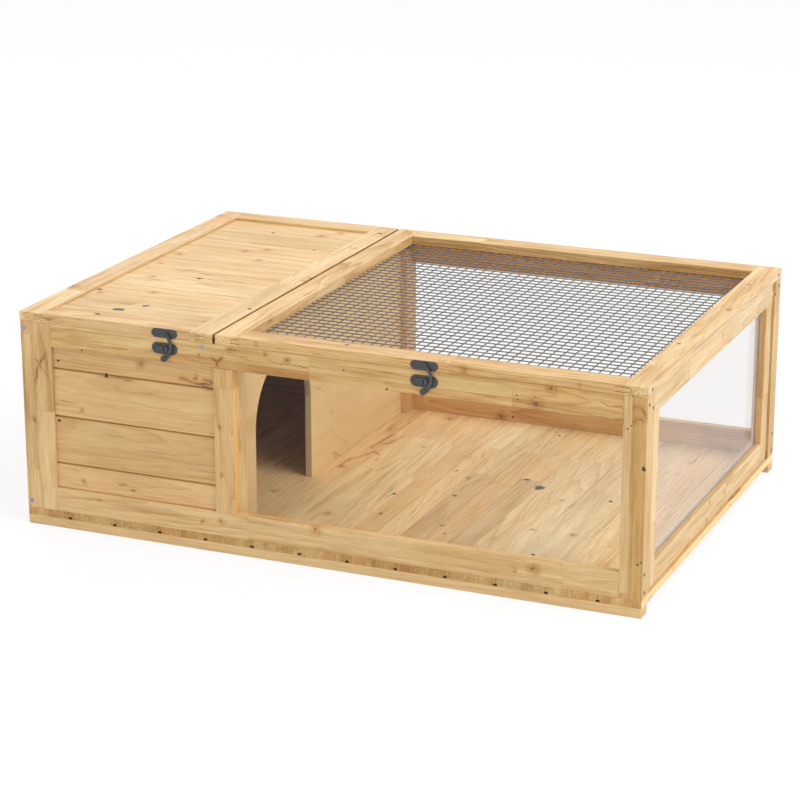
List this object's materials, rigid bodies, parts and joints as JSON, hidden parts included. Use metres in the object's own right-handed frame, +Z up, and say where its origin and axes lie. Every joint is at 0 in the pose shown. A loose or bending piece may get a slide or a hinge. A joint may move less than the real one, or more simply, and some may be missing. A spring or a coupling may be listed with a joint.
{
  "type": "tortoise house",
  "caption": "Low wooden tortoise house: a planked hide joined by an arched doorway to a glazed run, under a boarded lid and a wire-mesh lid that hinge up at the back.",
  "frame": {"origin": "on the ground under the middle of the house", "axes": "+X along the front towards the glazed run, +Y towards the hinged back, +Z up"},
  "size_m": [0.922, 0.6564, 0.3159],
  "materials": {
    "frame_timber": "planed softwood with a clear honey stain",
    "wall_board": "planed softwood boards with small knots",
    "floor_board": "planed tongue-and-groove softwood",
    "plywood": "smooth sanded plywood",
    "acrylic": "clear acrylic sheet",
    "mesh_wire": "dark coated welded wire",
    "latch_metal": "charcoal powder coat",
    "hinge_steel": "zinc-plated steel"
  },
  "bodies": {
    "house": {"back_bottom_rail": "frame_timber", "back_centre_stile": "frame_timber", "back_divider_post": "frame_timber", "back_foot_batten": "frame_timber", "back_left_post": "frame_timber", "back_left_stile": "frame_timber", "back_right_post": "frame_timber", "back_right_stile": "frame_timber", "back_top_rail": "frame_timber", "back_wall_boards": "wall_board", "back_window": "acrylic", "divider": "plywood", "floor_boards": "floor_board", "front_bottom_rail": "frame_timber", "front_centre_stile": "frame_timber", "front_divider_post": "frame_timber", "front_foot_batten": "frame_timber", "front_left_post": "frame_timber", "front_left_stile": "frame_timber", "front_right_post": "frame_timber", "front_right_stile": "frame_timber", "front_top_rail": "frame_timber", "front_wall_boards": "wall_board", "front_window": "acrylic", "left_back_stile": "frame_timber", "left_bottom_rail": "frame_timber", "left_front_stile": "frame_timber", "left_top_rail": "frame_timber", "left_wall_boards": "wall_board", "mesh_lid_hinge_pins": "hinge_steel", "mesh_lid_house_leaves": "hinge_steel", "mesh_lid_latch_keeper": "latch_metal", "right_back_stile": "frame_timber", "right_bottom_rail": "frame_timber", "right_front_stile": "frame_timber", "right_top_rail": "frame_timber", "right_window": "acrylic", "solid_lid_hinge_pins": "hinge_steel", "solid_lid_house_leaves": "hinge_steel", "solid_lid_latch_keeper": "latch_metal"},
    "solid_lid": {"solid_lid_back_rail": "frame_timber", "solid_lid_boards": "wall_board", "solid_lid_front_rail": "frame_timber", "solid_lid_hinge_leaves": "hinge_steel", "solid_lid_latch_plate": "latch_metal", "solid_lid_left_stile": "frame_timber", "solid_lid_right_stile": "frame_timber"},
    "mesh_lid": {"mesh_lid_back_rail": "frame_timber", "mesh_lid_front_rail": "frame_timber", "mesh_lid_hinge_leaves": "hinge_steel", "mesh_lid_latch_plate": "latch_metal", "mesh_lid_left_stile": "frame_timber", "mesh_lid_right_stile": "frame_timber", "wire_mesh": "mesh_wire"},
    "solid_lid_hook": {"solid_lid_latch_hook": "latch_metal"},
    "mesh_lid_hook": {"mesh_lid_latch_hook": "latch_metal"}
  },
  "joints": [
    {"name": "solid_lid_hinge", "type": "hinge", "parent": "house", "child": "solid_lid", "pos_m": [-0.30975, 0.3257, 0.3026], "axis": [-1, 0, 0], "range_deg": [0, 110]},
    {"name": "mesh_lid_hinge", "type": "hinge", "parent": "house", "child": "mesh_lid", "pos_m": [0.15315, 0.3257, 0.3026], "axis": [-1, 0, 0], "range_deg": [0, 110]},
    {"name": "solid_lid_hook_pivot", "type": "hinge", "parent": "solid_lid", "child": "solid_lid_hook", "pos_m": [-0.2295, -0.3265, 0.30925], "axis": [0, -1, 0], "range_deg": [0, 100]},
    {"name": "mesh_lid_hook_pivot", "type": "hinge", "parent": "mesh_lid", "child": "mesh_lid_hook", "pos_m": [0.15515, -0.3265, 0.30925], "axis": [0, -1, 0], "range_deg": [0, 100]}
  ]
}
